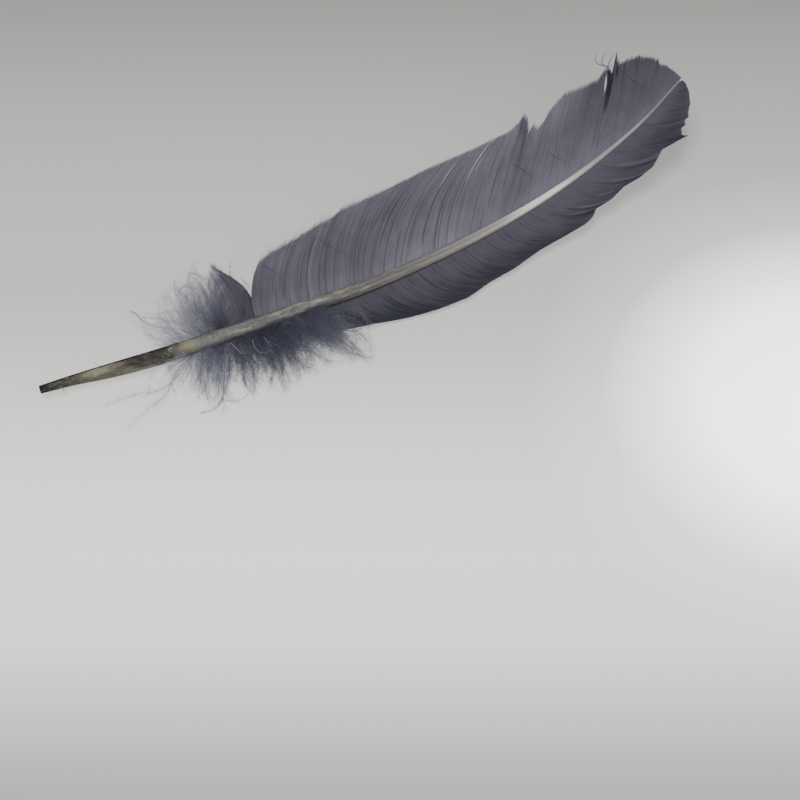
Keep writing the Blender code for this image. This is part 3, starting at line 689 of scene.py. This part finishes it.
def stainedHorn():  # dyed horn: scraped clean and glossy along the shaft, dull with old stain and dirt on the quill; the colour bands also paint a highlight and light on the flanks
    material, tree, shader = newMaterial("stained_horn", {"IOR": 1.55})
    flat = addNode(tree, "UVMap").outputs["UV"]
    place = addNode(tree, "Attribute", {"attribute_name": "place"}).outputs["Fac"]
    side = addNode(tree, "Attribute", {"attribute_name": "side"}).outputs["Fac"]
    bands = {name: addRamp(tree, place, shaftLook[name]) for name in ("lower", "under", "upper", "rim")}
    colour = bands["lower"]
    for name, first, last in shaftLook["turns"]:
        turned = addNode(tree, "MapRange", {"interpolation_type": "SMOOTHSTEP", 1: first, 2: last}, {
            "Value": side})
        colour = addNode(tree, "Mix", {"data_type": "RGBA"}, {
            0: turned.outputs["Result"], 6: colour, 7: bands[name]}).outputs[2]
    for (around, along), (first, last), stain, strength in shaftLook["stains"]:
        scale = (shaft["along"][-1] / along, shaftLook["girth"] / around, 1)
        spread = addNode(tree, "Mapping", {"Scale": scale, "Location": (0, 0, along + around)}, {
            "Vector": flat})
        noise = addNode(tree, "TexNoise", {"Scale": 1, "Detail": 5, "Roughness": 0.66}, {
            "Vector": spread.outputs["Vector"]})
        shown = addNode(tree, "MapRange", {"interpolation_type": "SMOOTHSTEP", 1: first, 2: last}, {
            "Value": noise.outputs["Fac"]})
        cover = addNode(tree, "Math", {"operation": "MULTIPLY"}, {
            0: shown.outputs["Result"], 1: addRamp(tree, place, strength)})
        colour = addNode(tree, "Mix", {"data_type": "RGBA", 7: linear(stain)}, {
            0: cover.outputs["Value"], 6: colour}).outputs[2]
    tree.links.new(colour, shader.inputs["Base Color"])
    tree.links.new(addRamp(tree, place, shaftLook["roughness"]), shader.inputs["Roughness"])
    tree.links.new(addRamp(tree, place, shaftLook["shine"]), shader.inputs["Specular IOR Level"])
    return material


def shapeShaft():
    bm = bmesh.new()
    bm.loops.layers.uv.new("UVMap")
    bmesh.ops.create_grid(bm, x_segments=shaft["rings"], y_segments=shaft["sides"], size=1, calc_uvs=True)
    flat = np.array([vert.co for vert in bm.verts])
    at, turn = (flat[:, 0] + 1) / 2 * shaft["along"][-1], flat[:, 1] * math.pi
    sine, cosine = np.sin(turn), np.cos(turn)
    width, depth = shaftAt(at, "width"), shaftAt(at, "depth")
    power = readTable(at, shaft["squareness"])
    out = np.sign(sine) * np.abs(sine) ** power * width / 2
    up = np.sign(cosine) * np.abs(cosine) ** power * np.where(cosine > 0, *shaft["swell"])
    groove = readTable(at, shaft["groove"]) * shaft["grooveDepth"] * depth
    dip = groove * np.exp(-(out / (shaft["grooveWidth"] * width)) ** 2) * (cosine > 0)
    across = acrossShaft(at)
    height = shaftAt(at, "underside") + depth / 2 * (1 + up) - dip
    spot = np.stack([at + across[:, 0] * out, shaftAt(at, "side") + across[:, 1] * out, height], -1)
    place, side = bm.verts.layers.float.new("place"), bm.verts.layers.float.new("side")
    for vert, co, share, s in zip(bm.verts, (spot + quillEnd) * mm, at / shaft["along"][-1], sine):
        vert.co = co
        vert[place] = share
        vert[side] = s
    bmesh.ops.remove_doubles(bm, verts=bm.verts, dist=1e-7)
    rims = [edge for edge in bm.edges if edge.is_boundary]
    bmesh.ops.holes_fill(bm, edges=rims, sides=0)
    bmesh.ops.recalc_face_normals(bm, faces=bm.faces)
    mesh = bpy.data.meshes.new("shaft")
    bm.to_mesh(mesh)
    bm.free()
    mesh.shade_smooth()
    mesh.set_sharp_from_angle(angle=math.radians(60))
    return addObject("shaft", mesh)


finishPiece(shapeShaft(), stainedHorn())
print("shaft")


# Single loose barbs: curled ones at the tip, dark curls at the narrow vane's foot, hairs on the quill and the down

looseBarbs = {
    # half width, pale or dark, then points along, side and up
    "paths": (
        (0.2, 0.3, (
            (243.1, 16.8, 24), (242.5, 17.6, 24.2), (240.7, 18.9, 24.8), (239.9, 19.6, 25.2), (239.9, 20.5, 25.6),
            (240.6, 21.9, 26.1), (242.8, 23, 27))),
        (0.18, 0.35, (
            (242.6, 17.5, 24), (242, 19, 24.8), (242.5, 19.9, 25.6), (243.4, 20.6, 26.3), (246.1, 21.9, 27.2))),
        (0.2, 0.25, ((243.2, 16.7, 24), (244.6, 18, 24.8), (246.4, 19.1, 25.7), (248.1, 20.2, 26.4))),
        (0.14, 0.35, ((243.5, 16.7, 24), (244.9, 16.9, 24.2), (245.7, 16.3, 24))),
        (0.22, 0.15, ((106, -24.5, 1.6), (109.5, -26.2, 2), (111.2, -28, 2.4), (114.6, -28.2, 2), (117, -27, 1.6))),
        (0.18, 0.2, ((103, -24, 1.4), (107.5, -27, 2.4), (111, -29.4, 2.4), (115, -29.6, 1.8))),
        (0.06, 0.75, (
            (104.6, -8.6, 3.6), (103.4, -10, 5), (102, -12.4, 5), (100.6, -14.8, 4.9), (99.6, -16.6, 3.6),
            (99, -18, 2.2))),
        (0.1, 0.05, ((21.6, 1.6, 3.6), (22.4, -0.6, 5.6), (23, -2.4, 6.2), (23.9, -3.4, 5.9))),
        (0.12, 0.05, ((7.9, -1.6, 5.2), (7.6, -3, 4.6), (7.5, -4.2, 3), (7.7, -5.2, 2))),
        (0.06, 0.7, ((36, -2.8, 4), (37, -1, 4.6), (38.6, 0.2, 4.4))),
        (0.05, 0.3, ((46, -4, 4.6), (44.6, -2.4, 5), (42.8, -1.6, 4.4), (41, -1.8, 3.6))),
        (0.13, 0.1, (
            (65.9, 11.6, 6), (62.7, 14.4, 5.6), (60.5, 14, 5), (59.4, 10.6, 4.6), (59.8, 4.5, 4.2),
            (61.4, -2.7, 4))),
        (0.11, 0.1, ((67.5, 18.2, 6.5), (69.5, 15.5, 6.6), (70.4, 12, 6.4), (70.3, 5.5, 5.6), (67.9, -0.8, 4.6))),
        (0.09, 0.15, ((66.6, 18.2, 6.2), (67.7, 14.2, 6.3), (68.1, 9, 6), (67.6, 3.6, 5.2), (65.8, -2.9, 4.4))),
        (0.11, 0.1, ((60.6, 18.7, 5), (59.2, 14.7, 5), (58.8, 9.3, 4.8), (60, 2.9, 4.4), (62.2, -3.6, 4))),
        (0.13, 0.1, ((80.6, 11.7, 8), (79.3, 8.2, 7.8), (80.4, 6.2, 7.2), (82.7, 3.4, 6.6), (82.2, -1.7, 5.4))),
        (0.09, 0.2, ((82.9, 7.3, 7), (83.8, 4, 7), (83.8, 0.8, 6), (82.2, -3.3, 5))),
        (0.13, 0.1, (
            (41.4, 16.7, 1.4), (42.9, 14.4, 1.8), (43.5, 10.9, 2.2), (45.6, 7.3, 2.6), (50.3, 5.9, 3.2),
            (55.2, 1.4, 4))),
        (0.09, 0.15, ((44.3, 12.2, 1.6), (47.3, 9.5, 2.4), (51.6, 6.2, 3), (56, -0.4, 4))),
        (0.11, 0.05, ((52, -29.1, 0.6), (53.2, -25.4, 1), (54.4, -19.9, 2), (57.3, -15.1, 3))),
        (0.11, 0.1, ((47.5, -32.5, 0.5), (52.6, -33.5, 0.5), (57, -31.3, 0.8), (60, -27, 1.6), (62.9, -20.2, 2.8))),
        (0.11, 0.05, ((53.9, -33.4, 0.6), (57.2, -30.5, 0.8), (59.4, -27.1, 1.5), (61.4, -20.9, 3))),
        (0.09, 0.1, ((57.6, -32, 0.6), (61, -34.2, 0.6), (65, -34.2, 0.9), (69.4, -30.2, 1.8), (73.4, -23.5, 3))),
        (0.11, 0.1, ((107.5, -33.3, 3), (108.8, -36.4, 2.4), (109.7, -39.4, 1.6))),
        (0.11, 0.1, ((105.2, -28.1, 4), (107.5, -31.6, 3.2), (109.3, -36.1, 2.2), (110.6, -39.2, 1.6))),
        (0.14, 0.95, ((68.4, -14, 5), (69.4, -17.2, 5.4), (70.4, -20.2, 5.4), (71.4, -20.5, 5.2), (70.7, -18.6, 5))),
        (0.14, 0.85, ((76.1, -16.8, 5), (75.5, -19.6, 5.6), (76.1, -22.5, 5.8), (78.2, -24, 5.6), (80.5, -23.2, 5))),
        (0.13, 0.85, ((80.4, -17.5, 5), (80.6, -20.6, 5.6), (81.3, -22.6, 5.6), (82.8, -22.7, 5.2))),
        (0.09, 0.6, ((95.6, -18.7, 5), (95.3, -22, 5.4), (96.1, -24.5, 5.2), (97.6, -25.5, 4.6))),
        (0.07, 0.35, ((113, -16.4, 6.5), (111.1, -21.4, 5.5), (108.4, -25.4, 4.4), (105.7, -26.8, 3.6))),
        (0.11, 0.7, ((80.9, -20, 5.4), (83.9, -23.7, 4.4), (85.6, -28.4, 3), (86.4, -32.3, 1.8))),
    ),
    "steps": 22,
}


# The down: plumes of loose barbules on both sides of the quill's upper end

down = {
    # root along the shaft, then tip along, side and up, then the bow, in a row round the down's edge
    "upper": (
        (52, 42.6, -1, 1.2, 0), (54, 46.5, 4.5, 3, 0.1), (55, 44.3, 8.2, 3, 0.12), (56.5, 44.5, 13, 4, 0.16),
        (58, 50, 9.2, 5, 0.1), (59, 53, 14, 6, 0.1), (60, 60.3, 18.7, 6.5, 0.12), (62, 60.5, 13.2, 7, 0.12),
        (63.5, 67.2, 18.3, 7.5, 0.1), (65, 65, 12.6, 8, 0.1), (66.5, 68.5, 14, 8.4, 0), (67.5, 70.6, 14.6, 8.6, 0),
        (69, 72, 10, 8.4, 0),
    ),
    "lower": (
        (53, 42.3, -9.4, 0.6, 0), (54.5, 39.2, -20.4, 0.6, -0.1), (56.5, 49, -26.8, 0.8, 0),
        (59, 51.7, -31.3, 0.8, 0.06), (62, 57, -26.5, 2, 0), (65, 54.2, -32.6, 0.8, -0.08),
        (68.5, 63.4, -34.3, 1, 0.05), (72, 68.6, -33.4, 1.5, 0.04), (76, 75.3, -36, 1, 0.08),
        (80, 80.5, -37, 1.5, 0.05), (84.5, 84, -39.6, 1, 0.05), (88.5, 92.3, -37.6, 1, 0.08),
        (92, 99.5, -36.8, 2, 0.06), (96, 111.6, -41.3, 1.5, 0.1), (98, 107, -37, 2, 0.06),
    ),
    # how many plumes, and their least and most length as shares of the way to the down's edge
    "upperLayers": ((125, 0.45, 1.02), (25, 0.2, 0.6)),
    "lowerLayers": ((265, 0.44, 1.0), (280, 0.2, 0.65), (130, 0.03, 0.22)),
    # by root along the shaft: how pale the barbules are where they start, and how close the plumes stand
    "upperPale": ((52, 0.9), (58, 0.8), (63, 0.55), (66, 0.3), (68, 0.12)),
    "lowerPale": ((53, 0.5), (60, 0.32), (66, 0.02), (76, -0.1), (86, -0.06), (94, 0.06)),
    "upperCrowd": ((52, 0.3), (57, 0.6), (63, 1.2), (67, 1.6), (69, 1.2)),
    "lowerCrowd": ((53, 0.3), (60, 0.55), (68, 1), (80, 1.5), (98, 2.1)),
    "upperLong": 3.5, "lowerLong": 4.6,  # the barbules' length
    "buried": 0.8,  # mm that plumes start inside the shaft
    "foot": (0.2, 0.6),  # at which share of the shaft's depth
    "strewn": (3, 2, 0.5),  # mm by which their tips differ
    "bowed": 0.1, "waved": 0.04,  # how much their lines differ, as shares of the length
    "lift": 2.5, "arch": 2.2, "least": 0.6,  # mm that short ones end higher, that all arch up, and least height
    "colour": ((0, "#222338"), (0.3, "#50526e"), (0.6, "#85869b"), (1, "#c1c2d1")),  # from where it crowds outwards; the dark end is partly painted shade where the barbules crowd
    "steps": 14, "width": 0.05,
    "bold": 2,  # how many times as wide the single plumes are
    # plumes and wisps that stand out singly: points along, side and up
    "upperPlumes": (
        ((59, -5, 3.5), (53, 1, 4), (46.8, 5.4, 3.4), (44.1, 10.6, 2.8), (41.9, 15.4, 1.8), (39.6, 18, 1.2)),
        ((60, -4, 3.5), (54, 3.5, 4.5), (49.5, 6.6, 4.5), (46.8, 9.6, 4)),
        ((61, -4, 3.5), (58.6, 4.5, 5), (54, 8, 5), (49.7, 8.8, 4.6), (44.3, 13, 4)),
        ((62, -4, 3.5), (61.8, 7.3, 5.5), (60.5, 12.3, 6), (59.7, 14.7, 6.2), (60.3, 18.7, 6)),
        ((63.5, -4, 3.5), (63.8, 6.3, 5.5), (61.7, 10.3, 6), (60.6, 13.7, 6.2), (61.9, 14.4, 6.6), (67.9, 10.8, 7)),
        ((64, -4, 3.5), (65.9, 7.2, 5.5), (66.2, 11, 6.5), (66.5, 13.9, 7)),
        ((65, -4, 3.5), (69.9, 5.2, 5.5), (71.3, 10.8, 7), (70, 14.6, 7.6), (67.1, 17.7, 8)),
        ((66, -4, 3.5), (70.8, 4.6, 5.5), (73, 9.9, 7), (71.7, 12.4, 7.6), (69.5, 15.1, 8)),
        ((78, -5, 2.5), (80.4, 3.2, 6), (79.7, 7.7, 7), (80.3, 11.5, 8), (82.6, 14.4, 8)),
        ((78.5, -5, 2.5), (80.6, 2.6, 5), (82.5, 5.1, 6), (84.6, 3.3, 7)),
        ((57.5, -5, 3.5), (51.5, -2.1, 3), (45.6, -1.9, 2.5), (42.5, -1.4, 2)),
    ),
    "lowerPlumes": (
        ((55, -10, 2.5), (49.3, -11.2, 1.8), (42.2, -8.9, 1)),
        (
            (56, -10, 2.5), (50.2, -13.8, 2.6), (43.5, -17.5, 2), (38.4, -18, 1.6), (29.7, -15.2, 1.1),
            (19.1, -14.2, 0.6)),
        ((56, -10, 2.5), (47, -14.7, 2.4), (39.2, -20.8, 1.7), (32.3, -22.8, 1.4), (22.3, -26.1, 0.6)),
        ((57, -10, 2.5), (53.5, -17.1, 2), (53.1, -21.2, 1.5), (49, -26.8, 1)),
        ((59, -10, 2.5), (57.5, -16.8, 1.8), (51.7, -31.3, 1)),
        ((65.5, -11, 2.5), (63.6, -20.2, 2.6), (61.8, -25.8, 2), (54.2, -32.8, 1.4), (48.2, -33, 1)),
        ((73, -12, 2.5), (70.8, -29.6, 1.8), (68.6, -33.4, 1)),
        ((76, -12, 3), (76.5, -17.9, 4.6), (78.2, -20.4, 5), (80, -23.4, 5)),
        ((84, -12, 3), (85.5, -16, 5.4), (88, -18.4, 6), (89.6, -17.4, 6.2), (88.6, -15.8, 6)),
        ((88, -12, 3), (90, -15.6, 5.4), (92.6, -17.4, 6), (93.6, -15.8, 6.2), (92.2, -15, 6)),
        ((81, -12, 3), (82.4, -17, 5), (85, -19.4, 5.6), (86.4, -18, 5.8)),
        ((91, -14, 2.5), (93.9, -23.6, 3), (101.9, -32.3, 2.6), (110.8, -41.4, 2)),
        ((85.5, -13, 2.5), (86.3, -25, 2.6), (88.1, -31.2, 1.5), (92.3, -37.6, 1)),
        ((76, -12, 2.5), (74.4, -28.7, 1.8), (72, -32.9, 1)),
        ((95.5, -14, 2.5), (98.2, -23.2, 3), (107.7, -32.8, 2.5), (109.5, -37.3, 2.5)),
        ((99.5, -14, 2.5), (106.1, -27.8, 3), (109.7, -32.9, 2.5)),
        ((89, -13, 2.5), (90, -24.9, 3), (93.7, -29.9, 2.4), (99.3, -37.3, 2.1), (103, -38.2, 2)),
    ),
}
barbule = {
    "apart": 0.46, "width": 0.024, "steps": 3, "most": 19000,  # at most this many in one mesh
    "tilt": 50, "lean": (46, 20),  # degrees out of the plume's plane, and towards its tip with how much that differs
    "differ": (0.5, 1.15), "forward": 0.45, "back": 0.3, "stray": (0.22, 0.22, 0.16),  # shares of the length
}


def throughPoints(points, steps):  # a smooth spine through a few points
    points = np.array(points, float)
    walked = walkAlong(points)
    at = np.linspace(0, walked[-1], steps)
    return np.stack([curveThrough(at, walked, points[:, k]) for k in range(3)], -1)


def scatterPlumes(keys, crowd, towards, count, least, most):  # plumes between those at the edge, most of them shorter
    keys = np.array(keys, float)
    length = np.hypot(keys[:, 1] - keys[:, 0], keys[:, 2] - shaftAt(keys[:, 0], "side"))
    walked = np.cumsum(length * readTable(keys[:, 0], crowd))
    place = np.interp(np.linspace(walked[0], walked[-1], count), walked, np.arange(len(keys)))
    place = np.clip(place + dice.uniform(-0.5, 0.5, count), 0, len(keys) - 1)
    root, along, side, up, bow = (np.interp(place, np.arange(len(keys)), keys[:, k]) for k in range(5))
    out = towards * (shaftAt(root, "width") / 2 - down["buried"])
    height = shaftAt(root, "underside") + shaftAt(root, "depth") * dice.uniform(*down["foot"], count)
    start = np.stack([root, shaftAt(root, "side") + out, height], -1)
    share = dice.uniform(least, most, count)
    end = start + (np.stack([along, side, up], -1) - start) * share[:, None]
    end += dice.normal(size=(count, 3)) * down["strewn"]
    end[:, 2] = np.maximum(end[:, 2] + down["lift"] * (1 - share), down["least"])
    run = end - start
    bulge = sideways(run) * (bow + dice.normal(size=count) * down["bowed"])[:, None]
    wave = sideways(run) * (dice.normal(size=count) * down["waved"])[:, None]
    t = np.linspace(0, 1, down["steps"])[None, :, None]
    arch = 4 * t * (1 - t)
    spines = start[:, None] + run[:, None] * t + bulge[:, None] * arch + wave[:, None] * np.sin(2 * math.pi * t)
    spines[..., 2] += arch[..., 0] * (down["arch"] * share)[:, None]
    return spines


def growBarbules(spines, pale, long):  # barbules down both sides of each plume, leaning towards its tip
    hairs, sides, tones = [], [], []
    for spine in spines:
        walked = walkAlong(spine)
        count = 2 * int(walked[-1] / barbule["apart"])
        at = np.sort(dice.uniform(0, 1, count)) * walked[-1]
        root, way = (np.stack([np.interp(at, walked, values[:, k]) for k in range(3)], -1)
                     for values in (spine, unit(np.gradient(spine, axis=0))))
        flat = unit(sideways(way)) * np.where(np.arange(count) % 2, 1, -1)[:, None]
        tilt = dice.normal(size=count) * math.radians(barbule["tilt"])
        outward = flat * np.cos(tilt)[:, None] + np.array([0, 0, 1]) * np.sin(tilt)[:, None]
        middle, differ = barbule["lean"]
        lean = np.radians(middle + dice.normal(size=count) * differ)[:, None]
        go = way * np.cos(lean) + outward * np.sin(lean)
        share = at / walked[-1]
        reach = long * dice.uniform(*barbule["differ"], count) * (0.7 + 0.5 * np.sin(math.pi * share ** 0.8))
        curl = way * barbule["forward"] - outward * barbule["back"]
        curl += dice.normal(size=(count, 3)) * barbule["stray"]
        hairs.append(bendHairs(root, go, curl, reach, barbule["steps"]))
        sides.append(np.broadcast_to(way[:, None], hairs[-1].shape))
        paler = np.clip(share + 0.25 * dice.normal(), 0, 1.3) ** 1.5
        tones.append(readTable(spine[0, 0], pale) + 0.5 * paler)
    return np.concatenate(hairs), np.concatenate(sides), np.concatenate(tones)


def looseDown():  # dyed down: thin soft barbules, dark where they crowd, partly as painted shade, and pale at their ends
    material, tree, shader = newMaterial("loose_down", {"Roughness": 0.7, "IOR": 1.55, "Sheen Weight": 0.2})
    reach = addNode(tree, "Attribute", {"attribute_name": "reach"}).outputs["Fac"]
    tree.links.new(addRamp(tree, reach, down["colour"]), shader.inputs["Base Color"])
    return material


downMaterial = looseDown()
spines = np.stack([throughPoints(points, looseBarbs["steps"]) for _, _, points in looseBarbs["paths"]])
shares = np.linspace(0, 1, looseBarbs["steps"])
width = np.array([half for half, _, _ in looseBarbs["paths"]])[:, None] * (1.1 - shares ** 1.5)
reach = np.array([pale for _, pale, _ in looseBarbs["paths"]])[:, None] + 0 * shares
across = np.broadcast_to(upright, spines.shape)
loose = makeStrands("loose_barbs", spines, across, width, width, thread, {"reach": reach})
finishPiece(loose, downMaterial)
print("loose barbs")

for name, towards in (("upper", 1), ("lower", -1)):
    layers = [scatterPlumes(down[name], down[name + "Crowd"], towards, *layer) for layer in down[name + "Layers"]]
    single = [throughPoints(points, down["steps"]) for points in down[name + "Plumes"]]
    spines = np.concatenate([*layers, np.stack(single)])
    spines[..., 2] = np.maximum(spines[..., 2], 0.25)
    shares = np.linspace(0, 1, down["steps"])
    width = down["width"] * (1.05 - shares) * np.ones((len(spines), 1))
    width[-len(single):] *= down["bold"]
    across = np.broadcast_to(upright, spines.shape)
    piece = makeStrands(name + "_plumes", spines, across, width, width, thread, {"reach": 0.1 + 0.35 * shares})
    finishPiece(piece, downMaterial)
    hairs, across, tones = growBarbules(spines, down[name + "Pale"], down[name + "Long"])
    shares = np.linspace(0, 1, barbule["steps"])
    width = barbule["width"] * (1.1 - 0.9 * shares) * np.ones((len(hairs), 1))
    reach = tones[:, None] + 0.35 * shares
    for n in range(0, len(hairs), barbule["most"]):
        part = slice(n, n + barbule["most"])
        form = hairs[part], across[part], width[part], width[part], thread, {"reach": reach[part]}
        piece = makeStrands(f"{name}_down_{n // barbule['most'] + 1}", *form)
        finishPiece(piece, downMaterial)
    print(name, "down", len(hairs), "barbules")
